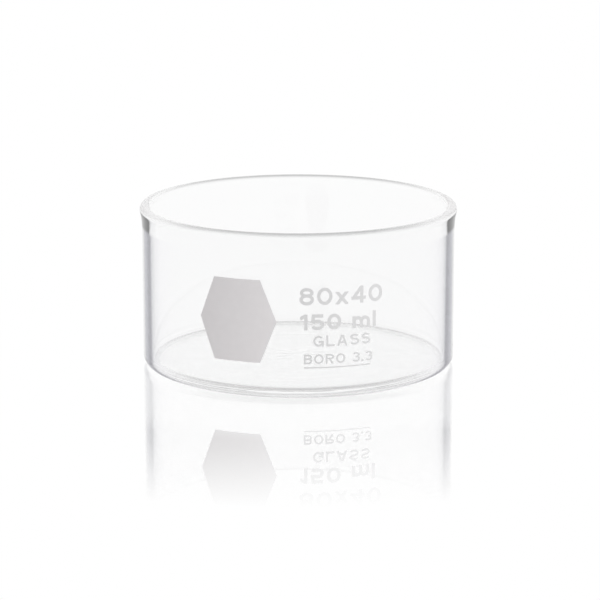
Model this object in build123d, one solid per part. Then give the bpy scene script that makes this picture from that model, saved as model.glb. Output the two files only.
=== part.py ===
from build123d import *
import math
import os

# A crystallizing dish: one piece of borosilicate glass with straight walls, a flat base and a
# beaded rim, and fired enamel markings on the front of the wall. Millimetres. The origin is on
# the resting face at the dish's axis, +Z is up, and the markings face -Y.

# Glass
RIM_RADIUS = 40.0
HEIGHT = 40.85
WALL_RADIUS = 39.5
WALL_THICKNESS = 2.1
FLARE_RADIUS = 20.0
HEEL_RADIUS = 2.2
BASE_THICKNESS = 1.5
INNER_HEEL_RADIUS = 1.8
PUSH_UP_RADIUS = 24.0
PUSH_UP_HEIGHT = 0.4

# Enamel. Places on the wall are arc lengths from the front line, positive towards +X.
ENAMEL_THICKNESS = 0.05
PRISM_DEPTH = 4.0
PATCH_CENTRE = (-15.25, 19.15)
PATCH_HALF_WIDTH = 10.05
PATCH_HALF_HEIGHT = 10.2
PATCH_EDGE_LENGTH = 12.0
RULE_CENTRE = (9.7, 7.95)
RULE_LENGTH = 16.6
RULE_THICKNESS = 0.3
SPACE_WIDTH = 0.35

# Each line of lettering: node, text, middle of the line, foot of the line, letter height, stroke, gap
LETTERING = [
    ("size_marking", "80x40", 10.75, 23.4, 4.25, 0.80, 0.75),
    ("capacity_marking", "150 ml", 9.95, 17.25, 3.9, 0.82, 0.75),
    ("material_marking", "GLASS", 10.8, 13.15, 2.7, 0.50, 0.60),
    ("glass_type_marking", "BORO 3.3", 9.95, 8.85, 2.4, 0.44, 0.48),
]


def bar(x0, y0, x1, y1, stroke):
    """A straight stroke with square ends, from one point to another."""
    length = math.hypot(x1 - x0, y1 - y0)
    angle = math.degrees(math.atan2(y1 - y0, x1 - x0))
    return Pos((x0 + x1) / 2, (y0 + y1) / 2) * Rot(0, 0, angle) * Rectangle(length, stroke)


def bow(x, y, rx, ry, start, end, stroke):
    """An elliptical stroke about a centre, counter-clockwise from one angle to another."""
    ring = Ellipse(rx, ry) - Ellipse(rx - stroke, ry - stroke)
    if end - start < 360:
        reach = 3 * max(rx, ry)
        steps = 8
        angles = [math.radians(start + (end - start) * i / steps) for i in range(steps + 1)]
        fan = [(0, 0)] + [(reach * math.cos(a), reach * math.sin(a)) for a in angles]
        ring = ring & Polygon(*fan, align=None)
    return Pos(x, y) * ring


def stacked_bowls(w, h, s, upper, lower):
    """Two bowls, one above the other, that share the stroke where they meet."""
    low = 0.27 * (h + s)
    high = (h + s) / 2 - low
    return [
        bow(w / 2, low, w / 2, low, *lower, s),
        bow(w / 2, h - high, 0.47 * w, high, *upper, s),
    ]


def glyph_0(w, h, s):
    return [bow(w / 2, h / 2, w / 2, h / 2, 0, 360, s)]


def glyph_1(w, h, s):
    return [bar(w - s / 2, 0, w - s / 2, h, s), bar(0, 0.72 * h, w, 0.98 * h, s)]


def glyph_3(w, h, s):
    return stacked_bowls(w, h, s, (-90, 155), (-155, 90))


def glyph_4(w, h, s):
    stem = 0.72 * w
    foot = 0.30 * h
    return [
        bar(stem, 0, stem, h, s),
        bar(0, foot, w, foot, s),
        bar(0.10 * w, foot - 0.2 * s, stem, h - 0.2 * s, s),
    ]


def glyph_5(w, h, s):
    low = 0.33 * h
    return [
        bow(w / 2, low, w / 2, low, -155, 152, s),
        bar(0.11 * w, h - s / 2, 0.93 * w, h - s / 2, s),
        bar(0.14 * w, 0.45 * h, 0.22 * w, h, s),
    ]


def glyph_8(w, h, s):
    return stacked_bowls(w, h, s, (0, 360), (0, 360))


def glyph_x(w, h, s):
    top = 0.72 * h
    inset = 0.68 * s
    low = Rectangle(w, top, align=(Align.MIN, Align.MIN))
    rising = bar(inset - w / 4, -top / 4, w * 1.25 - inset, top * 1.25, s)
    falling = bar(inset - w / 4, top * 1.25, w * 1.25 - inset, -top / 4, s)
    return [rising & low, falling & low]


def glyph_m(w, h, s):
    top = 0.74 * h
    arch = (w + s) / 4
    left, middle, right = s / 2, w / 2, w - s / 2
    return [
        bar(left, 0, left, top, s),
        bar(middle, 0, middle, top - arch, s),
        bar(right, 0, right, top - arch, s),
        bow((left + middle) / 2, top - arch, arch, arch, 0, 180, s),
        bow((middle + right) / 2, top - arch, arch, arch, 0, 180, s),
    ]


def glyph_l(w, h, s):
    return [bar(w / 2, 0, w / 2, h, s)]


def glyph_upper_l(w, h, s):
    return [bar(s / 2, 0, s / 2, h, s), bar(0, s / 2, w, s / 2, s)]


def glyph_upper_a(w, h, s):
    foot = 0.55 * s
    peak = 0.28 * s
    return [
        bar(foot - 0.1 * w, -0.25 * h, w / 2 - peak + 0.1 * w, 1.2 * h, s),
        bar(w - foot + 0.1 * w, -0.25 * h, w / 2 + peak - 0.1 * w, 1.2 * h, s),
        bar(0.22 * w, 0.30 * h, 0.78 * w, 0.30 * h, s),
    ]


def glyph_upper_s(w, h, s):
    return stacked_bowls(w, h, s, (25, 270), (-155, 90))


def glyph_upper_g(w, h, s):
    return [
        bow(w / 2, h / 2, w / 2, h / 2, 42, 330, s),
        bar(0.52 * w, 0.44 * h, w, 0.44 * h, s),
        bar(w - s / 2, 0, w - s / 2, 0.44 * h + s / 2, s),
    ]


def glyph_upper_b(w, h, s):
    waist = (h + s) / 2
    low = 0.26 * (h + s)
    high = waist - low
    bowl = 0.45 * w
    return [
        bar(s / 2, 0, s / 2, h, s),
        bar(0, s / 2, w - bowl, s / 2, s),
        bar(0, 2 * low - s / 2, w - bowl, 2 * low - s / 2, s),
        bar(0, h - s / 2, w - bowl, h - s / 2, s),
        bow(w - bowl, low, bowl, low, -90, 90, s),
        bow(w - bowl, h - high, bowl * 0.92, high, -90, 90, s),
    ]


def glyph_upper_r(w, h, s):
    high = 0.28 * h
    bowl = 0.45 * w
    waist = h - 2 * high + s / 2
    return [
        bar(s / 2, 0, s / 2, h, s),
        bar(0, waist, w - bowl, waist, s),
        bar(0, h - s / 2, w - bowl, h - s / 2, s),
        bow(w - bowl, h - high, bowl, high, -90, 90, s),
        bar(0.45 * w, waist, w - 0.4 * s, -0.12 * h, s),
    ]


def glyph_point(w, h, s):
    return [bar(w / 2, 0, w / 2, 1.1 * s, w)]


# Each character: its strokes and its width as a share of the letter height
GLYPHS = {
    "0": (glyph_0, 0.88),
    "1": (glyph_1, 0.46),
    "3": (glyph_3, 0.80),
    "4": (glyph_4, 0.88),
    "5": (glyph_5, 0.84),
    "8": (glyph_8, 0.82),
    "x": (glyph_x, 0.76),
    "m": (glyph_m, 1.18),
    "l": (glyph_l, 0.21),
    "A": (glyph_upper_a, 0.98),
    "B": (glyph_upper_b, 0.84),
    "G": (glyph_upper_g, 0.95),
    "L": (glyph_upper_l, 0.76),
    "O": (glyph_0, 0.96),
    "R": (glyph_upper_r, 0.88),
    "S": (glyph_upper_s, 0.88),
    ".": (glyph_point, 0.20),
}


def enamel_skin():
    """The thin sleeve on the outside of the straight wall that all the markings are cut from."""
    outer = Cylinder(WALL_RADIUS + ENAMEL_THICKNESS, HEIGHT, align=(Align.CENTER, Align.CENTER, Align.MIN))
    inner = Cylinder(WALL_RADIUS, HEIGHT, align=(Align.CENTER, Align.CENTER, Align.MIN))
    return outer - inner


def on_wall(face, arc, z, skin):
    """The part of the skin behind a flat outline that faces out of the wall at an arc length."""
    turn = arc / WALL_RADIUS
    outward = Vector(math.sin(turn), -math.cos(turn), 0)
    along = Vector(math.cos(turn), math.sin(turn), 0)
    centre = outward * WALL_RADIUS + Vector(0, 0, z)
    plane = Plane(origin=centre, x_dir=along, z_dir=outward)
    return extrude(plane * face, amount=PRISM_DEPTH / 2, both=True) & skin


def chord(arc):
    """How far an arc length from a marking's middle reaches, measured straight across it."""
    return WALL_RADIUS * math.sin(arc / WALL_RADIUS)


def glass_dish():
    """The vessel, turned about its axis from half of its section."""
    inner_radius = WALL_RADIUS - WALL_THICKNESS
    bead_radius = (RIM_RADIUS - inner_radius) / 2
    bead = (inner_radius + bead_radius, HEIGHT - bead_radius)
    flare_x = WALL_RADIUS + FLARE_RADIUS
    reach = FLARE_RADIUS + bead_radius
    lean = math.degrees(math.acos((flare_x - bead[0]) / reach))
    flare = (flare_x, bead[1] - reach * math.sin(math.radians(lean)))
    heel = (WALL_RADIUS - HEEL_RADIUS, HEEL_RADIUS)
    inner_heel = (inner_radius - INNER_HEEL_RADIUS, BASE_THICKNESS + INNER_HEEL_RADIUS)
    edges = [
        Line((PUSH_UP_RADIUS, 0), (heel[0], 0)),
        CenterArc(heel, HEEL_RADIUS, -90, 90),
        Line((WALL_RADIUS, heel[1]), (WALL_RADIUS, flare[1])),
        CenterArc(flare, FLARE_RADIUS, 180, -lean),
        CenterArc(bead, bead_radius, -lean, 180 + lean),
        Line((inner_radius, bead[1]), (inner_radius, inner_heel[1])),
        CenterArc(inner_heel, INNER_HEEL_RADIUS, 0, -90),
        Line((inner_heel[0], BASE_THICKNESS), (PUSH_UP_RADIUS, BASE_THICKNESS)),
        crown(BASE_THICKNESS),
        Line((0, BASE_THICKNESS + PUSH_UP_HEIGHT), (0, PUSH_UP_HEIGHT)),
        crown(0),
    ]
    return revolve(Plane.XZ * make_face(edges), Axis.Z)


def crown(z):
    """Half of the shallow dome in the middle of the base, whose foot is at height z."""
    radius = (PUSH_UP_RADIUS**2 + PUSH_UP_HEIGHT**2) / (2 * PUSH_UP_HEIGHT)
    spread = math.degrees(math.asin(PUSH_UP_RADIUS / radius))
    return CenterArc((0, z + PUSH_UP_HEIGHT - radius), radius, 90 - spread, spread)


def marking_patch(skin):
    """The plain six-sided patch to write on, with a level top and bottom."""
    half_width = chord(PATCH_HALF_WIDTH)
    half_edge = PATCH_EDGE_LENGTH / 2
    right = [(half_edge, PATCH_HALF_HEIGHT), (half_width, 0), (half_edge, -PATCH_HALF_HEIGHT)]
    left = [(-x, -y) for x, y in right]
    return on_wall(Polygon(*right, *left, align=None), *PATCH_CENTRE, skin)


def rule_line(skin):
    """The plain line under the lettering."""
    return on_wall(Rectangle(2 * chord(RULE_LENGTH / 2), RULE_THICKNESS), *RULE_CENTRE, skin)


def glyph_face(name, height, stroke):
    """One character as a flat outline centred on its own width, with its foot at zero."""
    strokes, share = GLYPHS[name]
    width = share * height
    outline = Sketch() + strokes(width, height, stroke)
    box = Rectangle(width, height, align=(Align.MIN, Align.MIN))
    return Pos(-width / 2, 0) * (outline & box)


def lettering(text, middle, foot, height, stroke, gap, skin):
    """One line of characters as separate solids, spaced along the wall about its middle."""
    widths = [SPACE_WIDTH * height if c == " " else GLYPHS[c][1] * height for c in text]
    start = middle - (sum(widths) + gap * (len(text) - 1)) / 2
    solids = []
    for character, width in zip(text, widths):
        if character != " ":
            face = glyph_face(character, height, stroke)
            solids += on_wall(face, start + width / 2, foot, skin).solids()
        start += width + gap
    return Compound(children=solids)


def main():
    os.makedirs("parts", exist_ok=True)
    skin = enamel_skin()
    nodes = {
        "glass_dish": glass_dish(),
        "marking_patch": marking_patch(skin),
        "rule_line": rule_line(skin),
    }
    for node, *line in LETTERING:
        nodes[node] = lettering(*line, skin)
    for node, shape in nodes.items():
        export_step(shape, f"parts/{node}.step")


main()
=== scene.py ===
import math

import bpy
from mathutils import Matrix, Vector
from mathutils.geometry import delaunay_2d_cdt


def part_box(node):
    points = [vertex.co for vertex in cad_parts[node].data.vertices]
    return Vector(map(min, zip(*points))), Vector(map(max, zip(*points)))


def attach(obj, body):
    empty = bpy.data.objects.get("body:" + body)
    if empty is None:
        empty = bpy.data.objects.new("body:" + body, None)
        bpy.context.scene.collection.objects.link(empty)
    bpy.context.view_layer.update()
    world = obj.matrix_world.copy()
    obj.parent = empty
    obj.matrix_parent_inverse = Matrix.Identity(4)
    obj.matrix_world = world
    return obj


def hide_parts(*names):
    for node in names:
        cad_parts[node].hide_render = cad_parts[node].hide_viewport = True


# A crystallizing dish in clear borosilicate glass with fired white enamel markings, on a glossy
# white sweep. Metres. The CAD frame: origin under the middle of the base, +Z up, markings on -Y.

MM = 0.001
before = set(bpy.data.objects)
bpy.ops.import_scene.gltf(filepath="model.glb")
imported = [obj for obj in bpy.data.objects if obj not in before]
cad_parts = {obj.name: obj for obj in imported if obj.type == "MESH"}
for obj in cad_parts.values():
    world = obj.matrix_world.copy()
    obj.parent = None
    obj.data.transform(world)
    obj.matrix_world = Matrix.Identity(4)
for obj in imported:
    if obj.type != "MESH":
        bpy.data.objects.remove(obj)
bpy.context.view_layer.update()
_, dish_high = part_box("glass_dish")

# Less than any distance in the shapes
TINY = 1e-7

# The vessel's section
RIM_RADIUS = dish_high.x
HEIGHT = dish_high.z
WALL_RADIUS = 39.5 * MM
WALL_THICKNESS = 2.1 * MM
INNER_RADIUS = WALL_RADIUS - WALL_THICKNESS
BEAD_RADIUS = (RIM_RADIUS - INNER_RADIUS) / 2
FLARE_RADIUS = 20 * MM
HEEL_RADIUS = 2.2 * MM
BASE_THICKNESS = 1.5 * MM
INNER_HEEL_RADIUS = 1.8 * MM
PUSH_UP_RADIUS = 24 * MM
PUSH_UP_HEIGHT = 0.4 * MM

# How many steps the turn is drawn in, and each part of the section
TURNS = 288
CROWN_STEPS = 12
FLAT_STEPS = 4
HEEL_STEPS = 16
OUTER_WALL_STEPS = 14
FLARE_STEPS = 8
BEAD_STEPS = 24
INNER_WALL_STEPS = 16
INNER_HEEL_STEPS = 14

# The waves that forming left in the glass: the size, the number round the dish, then the phase per
# metre of height, per metre of radius and at the start. A size of 2 stands for WAVE_HEIGHT.
WAVE_HEIGHT = 0.03 * MM
WAVES = [
    (1.0, 3, 40, 0, 0.7),
    (0.6, 5, -90, 0, 2.1),
    (0.3, 11, 160, 0, 0.0),
    (0.25, 9, 0, 260, 1.3),
]

# Edges that turn by more than this many degrees stay sharp
SHARP_ANGLE = 50

# The enamel. Places on the wall are arc lengths from the front line, positive towards +X.
ENAMEL_TOP = WALL_RADIUS + 0.05 * MM
ENAMEL_FOOT = WALL_RADIUS - 0.03 * MM
PATCH_CENTRE = (-15.25 * MM, 19.15 * MM)
PATCH_HALF_WIDTH = 10.05 * MM
PATCH_HALF_HEIGHT = 10.2 * MM
PATCH_HALF_EDGE = 6 * MM
PATCH_GRID = 0.6 * MM
RULE_CENTRE = (9.7 * MM, 7.95 * MM)
RULE_SIZE = (16.6 * MM, 0.3 * MM)
SPACE_WIDTH = 0.35
STROKE_STEP = 0.4 * MM
BOW_STEPS = 24

# delaunay_2d_cdt's word for the triangles inside the outlines
INSIDE_ONLY = 1

# Each line: its node and text, then in millimetres its middle along the wall, the height of its
# foot, the height of its letters, their stroke and the gap between them
LETTERING = [
    ("size_marking", "80x40", 10.75, 23.4, 4.25, 0.80, 0.75),
    ("capacity_marking", "150 ml", 9.95, 17.25, 3.9, 0.82, 0.75),
    ("material_marking", "GLASS", 10.8, 13.15, 2.7, 0.50, 0.60),
    ("glass_type_marking", "BORO 3.3", 9.95, 8.85, 2.4, 0.44, 0.48),
]


# ---- materials ----------------------------------------------------------------------------------

GLASS_IOR = 1.473
RIPPLE_DENSITY = 60
RIPPLE_STRETCH = (1, 1, 0.35)
RIPPLE_HEIGHT = 0.02 * MM

# The outside of the wall carries painted shade: the radii between which the painted shade sets in,
# and the heights where it begins and ends
SKIN_RADII = (38.2 * MM, 38.8 * MM)
PAINTED_SHADE_FOOT = (0.2 * MM, 0.8 * MM)
PAINTED_SHADE_TOP = (39.4 * MM, 40.1 * MM)

# The heights where the darker painted shade of the waist under the rim sets in
WAIST_FOOT = (34.9 * MM, 36.0 * MM)

# The rim bead is less smooth than the rest
RIM_FOOT = (38.0 * MM, 39.0 * MM)
RIM_ROUGHNESS = 0.18

# The glass colour by how the surface is seen, from face on (0) to edge on (1), with painted shade
# that darkens it towards edge on
WALL_PAINTED_SHADE = [
    (0.0, (0.974, 0.975, 0.975)),
    (0.35, (0.968, 0.968, 0.972)),
    (0.45, (0.953, 0.950, 0.960)),
    (0.50, (0.943, 0.938, 0.953)),
    (0.55, (0.905, 0.900, 0.920)),
    (0.585, (0.835, 0.830, 0.860)),
    (0.625, (0.72, 0.72, 0.75)),
    (0.655, (0.53, 0.53, 0.56)),
    (0.68, (0.28, 0.28, 0.31)),
    (0.70, (0.08, 0.08, 0.10)),
    (0.735, (0.09, 0.09, 0.11)),
    (0.785, (0.14, 0.14, 0.18)),
    (0.84, (0.18, 0.18, 0.21)),
    (0.88, (0.50, 0.50, 0.52)),
    (1.0, (0.80, 0.80, 0.81)),
]
# The same for the waist under the rim, where the painted shade goes black nearly edge on
WAIST_PAINTED_SHADE = [
    (0.0, (0.974, 0.975, 0.975)),
    (0.60, (0.965, 0.966, 0.968)),
    (0.69, (0.70, 0.70, 0.72)),
    (0.72, (0.0, 0.0, 0.0)),
    (0.96, (0.0, 0.0, 0.0)),
    (1.0, (0.40, 0.40, 0.40)),
]

# The two whites that each enamel is mottled with, its satin skin and its pinholes
PATCH_WHITES = [(0.3, (0.901, 0.872, 0.882)), (0.7, (0.922, 0.893, 0.903))]
LINE_WHITES = [(0.3, (0.796, 0.794, 0.796)), (0.7, (0.816, 0.814, 0.816))]
MOTTLE_DENSITY = 500
SATIN_DENSITY = 1400
SATIN_ROUGHNESS = (0.42, 0.6)
PINHOLE_DENSITY = 3000
PINHOLE_DEPTH = 0.01 * MM


def new_material(name):
    """A material, its node tree and its Principled shader."""
    material = bpy.data.materials.new(name)
    material.use_nodes = True
    tree = material.node_tree
    return material, tree, tree.nodes["Principled BSDF"]


def add_node(tree, kind, **values):
    """A node with its settings, each either a property or the constant of an input."""
    node = tree.nodes.new(kind)
    for key, value in values.items():
        if hasattr(node, key):
            setattr(node, key, value)
        else:
            node.inputs[key.replace("_", " ")].default_value = value
    return node


def noise_texture(tree, density, detail, stretch=(1, 1, 1)):
    """Noise in object space, with a density in features per metre."""
    place = add_node(tree, "ShaderNodeTexCoord")
    mapping = add_node(tree, "ShaderNodeMapping")
    mapping.inputs["Scale"].default_value = stretch
    noise = add_node(tree, "ShaderNodeTexNoise")
    noise.inputs["Scale"].default_value = density
    noise.inputs["Detail"].default_value = detail
    tree.links.new(place.outputs["Object"], mapping.inputs["Vector"])
    tree.links.new(mapping.outputs["Vector"], noise.inputs["Vector"])
    return noise.outputs["Fac"]


def colour_ramp(tree, source, stops):
    """The source turned into a colour, by stops of position and colour."""
    ramp = add_node(tree, "ShaderNodeValToRGB")
    elements = ramp.color_ramp.elements
    while len(elements) < len(stops):
        elements.new(1)
    for element, (position, colour) in zip(elements, stops):
        element.position = position
        element.color = (*colour, 1)
    tree.links.new(source, ramp.inputs["Fac"])
    return ramp.outputs["Color"]


def grey_ramp(tree, source, stops):
    """The source turned into a grey, by stops of position and brightness."""
    return colour_ramp(tree, source, [(position, (v, v, v)) for position, v in stops])


def add_bump(tree, shader, source, height):
    """Relief on the shader's surface, where the source is high."""
    bump = add_node(tree, "ShaderNodeBump")
    bump.inputs["Strength"].default_value = 1
    bump.inputs["Distance"].default_value = height
    tree.links.new(source, bump.inputs["Height"])
    tree.links.new(bump.outputs["Normal"], shader.inputs["Normal"])


def map_range(tree, source, span, values, kind="SMOOTHSTEP"):
    """From one value to the other as the source crosses the span."""
    node = add_node(tree, "ShaderNodeMapRange", interpolation_type=kind)
    node.inputs["From Min"].default_value, node.inputs["From Max"].default_value = span
    node.inputs["To Min"].default_value, node.inputs["To Max"].default_value = values
    tree.links.new(source, node.inputs["Value"])
    return node.outputs["Result"]


def product(tree, first, second):
    """Two values multiplied."""
    node = add_node(tree, "ShaderNodeMath", operation="MULTIPLY")
    tree.links.new(first, node.inputs[0])
    tree.links.new(second, node.inputs[1])
    return node.outputs[0]


def outer_skin(tree, place):
    """One on the outside of the wall, and zero on its inside and on the floor."""
    flat = add_node(tree, "ShaderNodeVectorMath", operation="MULTIPLY")
    flat.inputs[1].default_value = (1, 1, 0)
    radius = add_node(tree, "ShaderNodeVectorMath", operation="LENGTH")
    tree.links.new(place, flat.inputs[0])
    tree.links.new(flat.outputs[0], radius.inputs[0])
    return map_range(tree, radius.outputs["Value"], SKIN_RADII, (0, 1))


def glass_material():
    """Clear borosilicate glass, a little less smooth at the rim. Its colour carries painted shade:
    where the wall is seen edge on it darkens to a cool grey, and most of all in the waist under the
    rim."""
    material, tree, shader = new_material("clear_glass")
    facing = add_node(tree, "ShaderNodeLayerWeight", Blend=0.5)
    place = add_node(tree, "ShaderNodeTexCoord")
    split = add_node(tree, "ShaderNodeSeparateXYZ")
    tree.links.new(place.outputs["Object"], split.inputs[0])
    skin = outer_skin(tree, place.outputs["Object"])
    above_heel = map_range(tree, split.outputs["Z"], PAINTED_SHADE_FOOT, (0, 1))
    below_rim = map_range(tree, split.outputs["Z"], PAINTED_SHADE_TOP, (1, 0))
    wall = product(tree, product(tree, above_heel, below_rim), skin)
    edge = product(tree, facing.outputs["Facing"], wall)
    waist = product(tree, map_range(tree, split.outputs["Z"], WAIST_FOOT, (0, 1)), wall)
    # Painted shade: the glass colour darkens where the wall is seen edge on, and most in the waist
    painted_shade = add_node(tree, "ShaderNodeMixRGB")
    tree.links.new(waist, painted_shade.inputs["Fac"])
    tree.links.new(colour_ramp(tree, edge, WALL_PAINTED_SHADE), painted_shade.inputs["Color1"])
    tree.links.new(colour_ramp(tree, edge, WAIST_PAINTED_SHADE), painted_shade.inputs["Color2"])
    tree.links.new(painted_shade.outputs["Color"], shader.inputs["Base Color"])
    shader.inputs["Transmission Weight"].default_value = 1
    shader.inputs["IOR"].default_value = GLASS_IOR
    rough = map_range(tree, split.outputs["Z"], RIM_FOOT, (0, RIM_ROUGHNESS))
    tree.links.new(rough, shader.inputs["Roughness"])
    ripple = noise_texture(tree, RIPPLE_DENSITY, 2, RIPPLE_STRETCH)
    add_bump(tree, shader, ripple, RIPPLE_HEIGHT)
    return material


def enamel_material(name, whites):
    """Screen-printed, fired white enamel: a faint mottle, pinholes and a satin skin."""
    material, tree, shader = new_material(name)
    white = colour_ramp(tree, noise_texture(tree, MOTTLE_DENSITY, 4), whites)
    tree.links.new(white, shader.inputs["Base Color"])
    satin = noise_texture(tree, SATIN_DENSITY, 3)
    rough = map_range(tree, satin, (0, 1), SATIN_ROUGHNESS, "LINEAR")
    tree.links.new(rough, shader.inputs["Roughness"])
    add_bump(tree, shader, noise_texture(tree, PINHOLE_DENSITY, 2), PINHOLE_DEPTH)
    return material


# ---- the vessel ---------------------------------------------------------------------------------

def arc_points(centre, radius, start, turn, steps):
    """Points along an arc, both ends included. Angles in degrees."""
    angles = [math.radians(start + turn * i / steps) for i in range(steps + 1)]
    return [(centre[0] + radius * math.cos(a), centre[1] + radius * math.sin(a)) for a in angles]


def crown_points(foot):
    """The shallow dome in the middle of the base, from its edge to the axis."""
    radius = (PUSH_UP_RADIUS**2 + PUSH_UP_HEIGHT**2) / (2 * PUSH_UP_HEIGHT)
    spread = math.degrees(math.asin(PUSH_UP_RADIUS / radius))
    top = foot + PUSH_UP_HEIGHT
    return arc_points((0, top - radius), radius, 90 - spread, spread, CROWN_STEPS)


def line_points(start, end, steps):
    """Points along a straight line, without its ends."""
    return [
        (start[0] + (end[0] - start[0]) * i / steps, start[1] + (end[1] - start[1]) * i / steps)
        for i in range(1, steps)
    ]


def dish_section():
    """Half of the section, from the middle of the underside round to the middle of the floor."""
    bead = (INNER_RADIUS + BEAD_RADIUS, HEIGHT - BEAD_RADIUS)
    flare_x = WALL_RADIUS + FLARE_RADIUS
    reach = FLARE_RADIUS + BEAD_RADIUS
    lean = math.degrees(math.acos((flare_x - bead[0]) / reach))
    flare_z = bead[1] - reach * math.sin(math.radians(lean))
    heel_x = WALL_RADIUS - HEEL_RADIUS
    inner_heel = (INNER_RADIUS - INNER_HEEL_RADIUS, BASE_THICKNESS + INNER_HEEL_RADIUS)
    floor = BASE_THICKNESS
    points = crown_points(0)[::-1]
    points += line_points((PUSH_UP_RADIUS, 0), (heel_x, 0), FLAT_STEPS)
    points += arc_points((heel_x, HEEL_RADIUS), HEEL_RADIUS, -90, 90, HEEL_STEPS)
    points += line_points((WALL_RADIUS, HEEL_RADIUS), (WALL_RADIUS, flare_z), OUTER_WALL_STEPS)
    points += arc_points((flare_x, flare_z), FLARE_RADIUS, 180, -lean, FLARE_STEPS)
    points += arc_points(bead, BEAD_RADIUS, -lean, 180 + lean, BEAD_STEPS)[1:]
    points += line_points((INNER_RADIUS, bead[1]), (INNER_RADIUS, inner_heel[1]), INNER_WALL_STEPS)
    points += arc_points(inner_heel, INNER_HEEL_RADIUS, 0, -90, INNER_HEEL_STEPS)
    points += line_points((inner_heel[0], floor), (PUSH_UP_RADIUS, floor), FLAT_STEPS)
    points += crown_points(floor)
    return points


def tooling(turn, r, z):
    """How far the forming leaves the inside of the wall or the floor from true, in metres."""
    total = 0
    for size, count, by_height, by_radius, phase in WAVES:
        total += size * math.sin(count * turn + by_height * z + by_radius * r + phase)
    return WAVE_HEIGHT * total / 2


def glass_dish(material):
    """The section turned about the axis, with a point on the axis at each end. The inside has waves:
    its floor's go up and down, and its wall's go in and out."""
    section = dish_section()
    rings = section[1:-1]
    vertices = [(0, 0, section[0][1])]
    for r, z in rings:
        inside = z > BASE_THICKNESS / 2 and r < INNER_RADIUS + TINY
        on_floor = z < BASE_THICKNESS + PUSH_UP_HEIGHT + TINY
        for i in range(TURNS):
            turn = 2 * math.pi * i / TURNS
            wave = tooling(turn, r, z) if inside else 0
            radius = r if on_floor else r + wave
            height = z + wave if on_floor else z
            vertices.append((radius * math.sin(turn), -radius * math.cos(turn), height))
    vertices.append((0, 0, section[-1][1]))
    last = len(vertices) - 1
    faces = []
    for i in range(TURNS):
        j = (i + 1) % TURNS
        faces.append((0, 1 + j, 1 + i))
        for k in range(len(rings) - 1):
            low, high = 1 + k * TURNS, 1 + (k + 1) * TURNS
            faces.append((low + i, low + j, high + j, high + i))
        top = 1 + (len(rings) - 1) * TURNS
        faces.append((top + i, top + j, last))
    return make_piece("dish", vertices, faces, material)


def make_piece(name, vertices, faces, material):
    """A smooth mesh that keeps its sharp edges."""
    mesh = bpy.data.meshes.new(name)
    mesh.from_pydata(vertices, [], faces)
    mesh.validate()
    mesh.polygons.foreach_set("use_smooth", [True] * len(mesh.polygons))
    mesh.set_sharp_from_angle(angle=math.radians(SHARP_ANGLE))
    mesh.materials.append(material)
    piece = bpy.data.objects.new(name, mesh)
    bpy.context.scene.collection.objects.link(piece)
    return piece


# ---- the enamel ---------------------------------------------------------------------------------

def bar(x0, y0, x1, y1, stroke):
    """The outline of a straight stroke with square ends."""
    along = Vector((x1 - x0, y1 - y0))
    steps = max(1, math.ceil(along.length / STROKE_STEP))
    side = Vector((-along.y, along.x)).normalized() * stroke / 2
    middle = [Vector((x0, y0)) + along * i / steps for i in range(steps + 1)]
    return [[p - side for p in middle] + [p + side for p in reversed(middle)]]


def bow(x, y, rx, ry, start, end, stroke):
    """The outlines of an elliptical stroke, counter-clockwise, in pieces of half a turn or less."""
    pieces = math.ceil((end - start) / 180)
    outlines = []
    for k in range(pieces):
        first = start + (end - start) * k / pieces
        share = (end - start) / pieces
        angles = [math.radians(first + share * i / BOW_STEPS) for i in range(BOW_STEPS + 1)]
        outer = [Vector((x + rx * math.cos(a), y + ry * math.sin(a))) for a in angles]
        inner = [
            Vector((x + (rx - stroke) * math.cos(a), y + (ry - stroke) * math.sin(a)))
            for a in reversed(angles)
        ]
        outlines.append(outer + inner)
    return outlines


def clipped(outlines, width, height):
    """Outlines cut off at the edges of a box whose corner is at zero."""
    sides = [(0, 0, 1), (0, width, -1), (1, 0, 1), (1, height, -1)]
    result = []
    for outline in outlines:
        for axis, limit, sign in sides:
            kept = []
            for a, b in zip(outline, outline[1:] + outline[:1]):
                da, db = sign * (a[axis] - limit), sign * (b[axis] - limit)
                if da >= 0:
                    kept.append(a)
                if da * db < 0:
                    kept.append(a.lerp(b, da / (da - db)))
            outline = kept
        if len(outline) > 2:
            result.append(outline)
    return result


# In the characters, w and h are the width and height of the letter and s is its stroke. The other
# numbers are shares of these, or angles in degrees.

def stacked_bowls(w, h, s, upper, lower):
    """Two bows one on the other, each drawn from its first angle to its second."""
    low = 0.27 * (h + s)
    high = (h + s) / 2 - low
    return bow(w / 2, low, w / 2, low, *lower, s) + bow(w / 2, h - high, 0.47 * w, high, *upper, s)


def glyph_0(w, h, s):
    return bow(w / 2, h / 2, w / 2, h / 2, 0, 360, s)


def glyph_1(w, h, s):
    return bar(w - s / 2, 0, w - s / 2, h, s) + bar(0, 0.72 * h, w, 0.98 * h, s)


def glyph_3(w, h, s):
    return stacked_bowls(w, h, s, (-90, 155), (-155, 90))


def glyph_4(w, h, s):
    stem = 0.72 * w
    foot = 0.30 * h
    diagonal = bar(0.10 * w, foot - 0.2 * s, stem, h - 0.2 * s, s)
    return bar(stem, 0, stem, h, s) + bar(0, foot, w, foot, s) + diagonal


def glyph_5(w, h, s):
    low = 0.33 * h
    top = bar(0.11 * w, h - s / 2, 0.93 * w, h - s / 2, s)
    neck = bar(0.14 * w, 0.45 * h, 0.22 * w, h, s)
    return bow(w / 2, low, w / 2, low, -155, 152, s) + top + neck


def glyph_8(w, h, s):
    return stacked_bowls(w, h, s, (0, 360), (0, 360))


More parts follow.
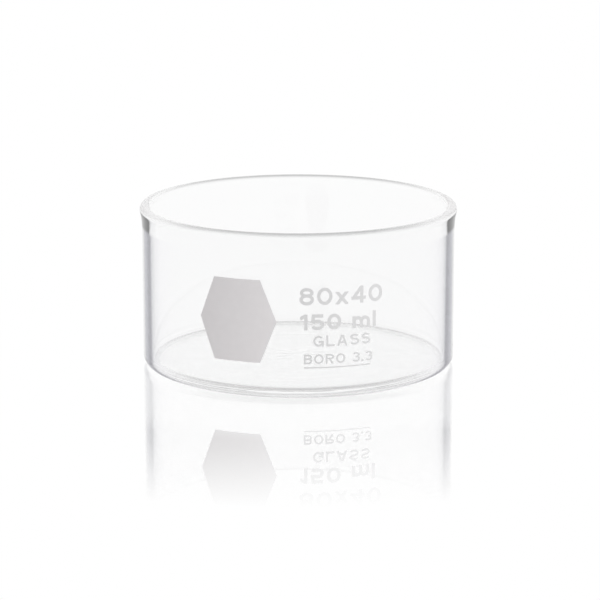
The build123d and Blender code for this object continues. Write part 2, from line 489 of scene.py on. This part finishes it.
def glyph_x(w, h, s):
    top = 0.72 * h
    inset = 0.68 * s
    rising = bar(inset - w / 4, -top / 4, w * 1.25 - inset, top * 1.25, s)
    falling = bar(inset - w / 4, top * 1.25, w * 1.25 - inset, -top / 4, s)
    return clipped(rising + falling, w, top)


def glyph_m(w, h, s):
    top = 0.74 * h
    arch = (w + s) / 4
    left, middle, right = s / 2, w / 2, w - s / 2
    stems = bar(left, 0, left, top, s)
    for x in (middle, right):
        stems += bar(x, 0, x, top - arch, s)
        stems += bow(x - arch + s / 2, top - arch, arch, arch, 0, 180, s)
    return stems


def glyph_l(w, h, s):
    return bar(w / 2, 0, w / 2, h, s)


def glyph_upper_l(w, h, s):
    return bar(s / 2, 0, s / 2, h, s) + bar(0, s / 2, w, s / 2, s)


def glyph_upper_a(w, h, s):
    foot = 0.55 * s
    peak = 0.28 * s
    left = bar(foot - 0.1 * w, -0.25 * h, w / 2 - peak + 0.1 * w, 1.2 * h, s)
    right = bar(w - foot + 0.1 * w, -0.25 * h, w / 2 + peak - 0.1 * w, 1.2 * h, s)
    return left + right + bar(0.22 * w, 0.30 * h, 0.78 * w, 0.30 * h, s)


def glyph_upper_s(w, h, s):
    return stacked_bowls(w, h, s, (25, 270), (-155, 90))


def glyph_upper_g(w, h, s):
    shelf = bar(0.52 * w, 0.44 * h, w, 0.44 * h, s)
    spur = bar(w - s / 2, 0, w - s / 2, 0.44 * h + s / 2, s)
    return bow(w / 2, h / 2, w / 2, h / 2, 42, 330, s) + shelf + spur


def glyph_upper_b(w, h, s):
    low = 0.26 * (h + s)
    high = (h + s) / 2 - low
    bowl = 0.45 * w
    arms = bar(s / 2, 0, s / 2, h, s)
    for y in (s / 2, 2 * low - s / 2, h - s / 2):
        arms += bar(0, y, w - bowl, y, s)
    lower = bow(w - bowl, low, bowl, low, -90, 90, s)
    return arms + lower + bow(w - bowl, h - high, bowl * 0.92, high, -90, 90, s)


def glyph_upper_r(w, h, s):
    high = 0.28 * h
    bowl = 0.45 * w
    waist = h - 2 * high + s / 2
    arms = bar(s / 2, 0, s / 2, h, s)
    for y in (waist, h - s / 2):
        arms += bar(0, y, w - bowl, y, s)
    leg = bar(0.45 * w, waist, w - 0.4 * s, -0.12 * h, s)
    return arms + bow(w - bowl, h - high, bowl, high, -90, 90, s) + leg


def glyph_point(w, h, s):
    return bar(w / 2, 0, w / 2, 1.1 * s, w)


# Each character: its strokes and its width as a share of the letter height
GLYPHS = {
    "0": (glyph_0, 0.88),
    "1": (glyph_1, 0.46),
    "3": (glyph_3, 0.80),
    "4": (glyph_4, 0.88),
    "5": (glyph_5, 0.84),
    "8": (glyph_8, 0.82),
    "x": (glyph_x, 0.76),
    "m": (glyph_m, 1.18),
    "l": (glyph_l, 0.21),
    "A": (glyph_upper_a, 0.98),
    "B": (glyph_upper_b, 0.84),
    "G": (glyph_upper_g, 0.95),
    "L": (glyph_upper_l, 0.76),
    "O": (glyph_0, 0.96),
    "R": (glyph_upper_r, 0.88),
    "S": (glyph_upper_s, 0.88),
    ".": (glyph_point, 0.20),
}


def print_on_wall(name, outlines, middle, foot, material, inner_points=()):
    """Outlines joined into one flat print, given its thickness and wrapped round the wall."""
    points = [p for outline in outlines for p in outline] + list(inner_points)
    loops, start = [], 0
    for outline in outlines:
        loops.append(list(range(start, start + len(outline))))
        start += len(outline)
    flat, _, cells, _, _, sources = delaunay_2d_cdt(points, [], loops, INSIDE_ONLY, TINY)
    triangles = [cell for cell, inside in zip(cells, sources) if inside]
    vertices = []
    for radius in (ENAMEL_TOP, ENAMEL_FOOT):
        for p in flat:
            turn = (middle + p.x) / WALL_RADIUS
            vertices.append((radius * math.sin(turn), -radius * math.cos(turn), foot + p.y))
    count = len(flat)
    faces = [tuple(t) for t in triangles]
    faces += [tuple(i + count for i in reversed(t)) for t in triangles]
    edges = {(t[i], t[(i + 1) % 3]) for t in triangles for i in range(3)}
    faces += [(a, a + count, b + count, b) for a, b in edges if (b, a) not in edges]
    return make_piece(name, vertices, faces, material)


def marking_patch(material):
    """The plain six-sided patch, with a level top and bottom and a grid of points inside."""
    edge, height = PATCH_HALF_EDGE, PATCH_HALF_HEIGHT
    right = [(edge, -height), (PATCH_HALF_WIDTH, 0), (edge, height)]
    corners = [Vector(p) for p in right] + [-Vector(p) for p in right]
    outline = []
    for a, b in zip(corners, corners[1:] + corners[:1]):
        steps = math.ceil((b - a).length / PATCH_GRID)
        outline += [a.lerp(b, i / steps) for i in range(steps)]
    slope = (PATCH_HALF_WIDTH - PATCH_HALF_EDGE) / PATCH_HALF_HEIGHT
    rows = int(PATCH_HALF_HEIGHT / PATCH_GRID)
    inner = []
    for row in range(-rows, rows + 1):
        y = row * PATCH_GRID
        columns = int((PATCH_HALF_WIDTH - slope * abs(y) - PATCH_GRID / 2) / PATCH_GRID)
        inner += [Vector((i * PATCH_GRID, y)) for i in range(-columns, columns + 1)]
    return print_on_wall("patch", [outline], *PATCH_CENTRE, material, inner)


def lettering(node, text, middle, foot, height, stroke, gap, material):
    """One line of characters, spaced along the wall about its middle."""
    widths = [SPACE_WIDTH * height if c == " " else GLYPHS[c][1] * height for c in text]
    start = -(sum(widths) + gap * (len(text) - 1)) / 2
    outlines = []
    for character, width in zip(text, widths):
        if character != " ":
            strokes = clipped(GLYPHS[character][0](width, height, stroke), width, height)
            outlines += [[p + Vector((start, 0)) for p in outline] for outline in strokes]
        start += width + gap
    return print_on_wall(f"{node}_print", outlines, middle, foot, material)


# ---- floor, light and camera --------------------------------------------------------------------

# The floor lies just clear of the ring that the dish rests on
FLOOR_RADIUS = 3.0
FLOOR_SIDES = 96
FLOOR_DROP = 0.02 * MM

# What the floor mirrors, and how brightly the rest of it glows, dimmed in a ring of painted contact
# shadow, by the distance from the dish's axis as a share of FLOOR_REACH
FLOOR_REACH = 0.125
MIRROR_SHARE = [(0.0, 0.42), (0.51, 0.42), (0.60, 0.62), (0.66, 0.58), (0.80, 0.35), (1.0, 0.0)]
PAINTED_CONTACT_SHADOW = [(0.28, 1.0), (0.295, 0.88), (0.34, 0.88), (0.354, 1.0)]

# The painted contact shadow sets in between these places in Y, so it lies in front of the dish
CONTACT_SHADOW_FRONT = (-28 * MM, -38 * MM)

# The least that the floor mirrors of light which has come through the glass
MIRROR_THROUGH = 0.9

# The floor's glow on matt surfaces, and the surround's from its left to its right, which it crosses
# between two directions along X
BOUNCE = 0.90
SIDE_LIGHT = (0.0, 1.1)
SIDE_LIGHT_EDGE = (-0.4, 0.0)

# Where the surround passes into the ceiling, as the Z of a direction, and the ceiling's brightness
CEILING_EDGE = (0.35, 0.8)
CEILING_LIGHT = 0.55

INNER_BOUNCES = 200
CAMERA_BACK = 658.46 * MM
CAMERA_HEIGHT = 169.47 * MM
CAMERA_SIDE = 0.42 * MM
CAMERA_PITCH = 13.16
CAMERA_LENS = 159.43
CAMERA_NEAR = 10 * MM


def floor_mirror(tree, path, reach):
    """How much the floor mirrors, which is more for light that has come through the glass."""
    through = map_range(tree, path.outputs["Is Transmission Ray"], (0, 1), (0, MIRROR_THROUGH))
    most = add_node(tree, "ShaderNodeMath", operation="MAXIMUM")
    tree.links.new(grey_ramp(tree, reach, MIRROR_SHARE), most.inputs[0])
    tree.links.new(through, most.inputs[1])
    return most.outputs[0]


def contact_shade(tree, place, reach):
    """White, with a painted shadow: a thin grey line where the front of the dish meets the floor."""
    split = add_node(tree, "ShaderNodeSeparateXYZ")
    shade = add_node(tree, "ShaderNodeMix")
    shade.inputs["A"].default_value = 1
    tree.links.new(place, split.inputs[0])
    front = map_range(tree, split.outputs["Y"], CONTACT_SHADOW_FRONT, (0, 1))
    tree.links.new(front, shade.inputs["Factor"])
    tree.links.new(grey_ramp(tree, reach, PAINTED_CONTACT_SHADOW), shade.inputs["B"])
    return shade.outputs["Result"]


def white_floor():
    """A glossy white sweep that mirrors the dish close by and fades to plain white. Its glow is less
    for light that falls on matt surfaces."""
    bpy.ops.mesh.primitive_circle_add(vertices=FLOOR_SIDES, radius=FLOOR_RADIUS, fill_type="NGON")
    floor = bpy.context.object
    floor.name = "sweep"
    material, tree, shader = new_material("white_sweep")
    tree.nodes.remove(shader)
    path = add_node(tree, "ShaderNodeLightPath")
    place = add_node(tree, "ShaderNodeTexCoord").outputs["Object"]
    distance = add_node(tree, "ShaderNodeVectorMath", operation="LENGTH")
    reach = add_node(tree, "ShaderNodeMath", operation="DIVIDE")
    reach.inputs[1].default_value = FLOOR_REACH
    glow = add_node(tree, "ShaderNodeEmission")
    mirror = add_node(tree, "ShaderNodeBsdfGlossy", Roughness=0.0)
    mirror.inputs["Color"].default_value = (1, 1, 1, 1)
    mix = add_node(tree, "ShaderNodeMixShader")
    strength = map_range(tree, path.outputs["Is Diffuse Ray"], (0, 1), (1, BOUNCE))
    tree.links.new(place, distance.inputs[0])
    tree.links.new(distance.outputs["Value"], reach.inputs[0])
    tree.links.new(strength, glow.inputs["Strength"])
    tree.links.new(contact_shade(tree, place, reach.outputs[0]), glow.inputs["Color"])
    tree.links.new(floor_mirror(tree, path, reach.outputs[0]), mix.inputs[0])
    tree.links.new(glow.outputs[0], mix.inputs[1])
    tree.links.new(mirror.outputs[0], mix.inputs[2])
    tree.links.new(mix.outputs[0], tree.nodes["Material Output"].inputs["Surface"])
    floor.data.materials.append(material)
    floor.location.z = -FLOOR_DROP


def white_surround():
    """Even white all round under a dimmer ceiling, for the glass to mirror and bend. Matt surfaces
    are lit more from the right, and the camera sees plain white."""
    world = bpy.data.worlds.new("white_surround")
    bpy.context.scene.world = world
    world.use_nodes = True
    tree = world.node_tree
    place = add_node(tree, "ShaderNodeTexCoord")
    way = add_node(tree, "ShaderNodeSeparateXYZ")
    ceiling = map_range(tree, way.outputs["Z"], CEILING_EDGE, (1, CEILING_LIGHT))
    side = map_range(tree, way.outputs["X"], SIDE_LIGHT_EDGE, SIDE_LIGHT, "LINEAR")
    path = add_node(tree, "ShaderNodeLightPath")
    matt = add_node(tree, "ShaderNodeMix")
    shown = add_node(tree, "ShaderNodeMix")
    shown.inputs["B"].default_value = 1
    tree.links.new(place.outputs["Generated"], way.inputs[0])
    tree.links.new(ceiling, matt.inputs["A"])
    tree.links.new(side, matt.inputs["B"])
    tree.links.new(path.outputs["Is Diffuse Ray"], matt.inputs["Factor"])
    tree.links.new(matt.outputs["Result"], shown.inputs["A"])
    tree.links.new(path.outputs["Is Camera Ray"], shown.inputs["Factor"])
    tree.links.new(shown.outputs["Result"], tree.nodes["Background"].inputs["Strength"])
    tree.nodes["Background"].inputs["Color"].default_value = (1, 1, 1, 1)


def camera():
    """The camera at the picture's viewpoint."""
    data = bpy.data.cameras.new("camera")
    data.lens = CAMERA_LENS
    data.clip_start = CAMERA_NEAR
    seen_from = bpy.data.objects.new("camera", data)
    seen_from.location = (CAMERA_SIDE, -CAMERA_BACK, CAMERA_HEIGHT)
    seen_from.rotation_euler = (math.radians(90 - CAMERA_PITCH), 0, 0)
    bpy.context.scene.collection.objects.link(seen_from)
    bpy.context.scene.camera = seen_from


def stand_for(piece, node):
    """Put a piece in the place of a CAD node."""
    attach(piece, "root")
    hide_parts(node)


def light_paths():
    """Enough bounces for light that runs round inside the rim and the heel to come out again, and
    no blurring of what it meets on the way."""
    paths = bpy.context.scene.cycles
    paths.max_bounces = INNER_BOUNCES
    paths.glossy_bounces = INNER_BOUNCES
    paths.transmission_bounces = INNER_BOUNCES
    paths.blur_glossy = 0


def main():
    bpy.context.scene.view_settings.view_transform = "Standard"
    light_paths()
    white_surround()
    white_floor()
    camera()
    stand_for(glass_dish(glass_material()), "glass_dish")
    patch_enamel = enamel_material("patch_enamel", PATCH_WHITES)
    stand_for(marking_patch(patch_enamel), "marking_patch")
    width, thickness = RULE_SIZE
    enamel = enamel_material("line_enamel", LINE_WHITES)
    rule = print_on_wall("rule", bar(-width / 2, 0, width / 2, 0, thickness), *RULE_CENTRE, enamel)
    stand_for(rule, "rule_line")
    for node, text, *lengths in LETTERING:
        line = lettering(node, text, *[length * MM for length in lengths], enamel)
        stand_for(line, node)


main()
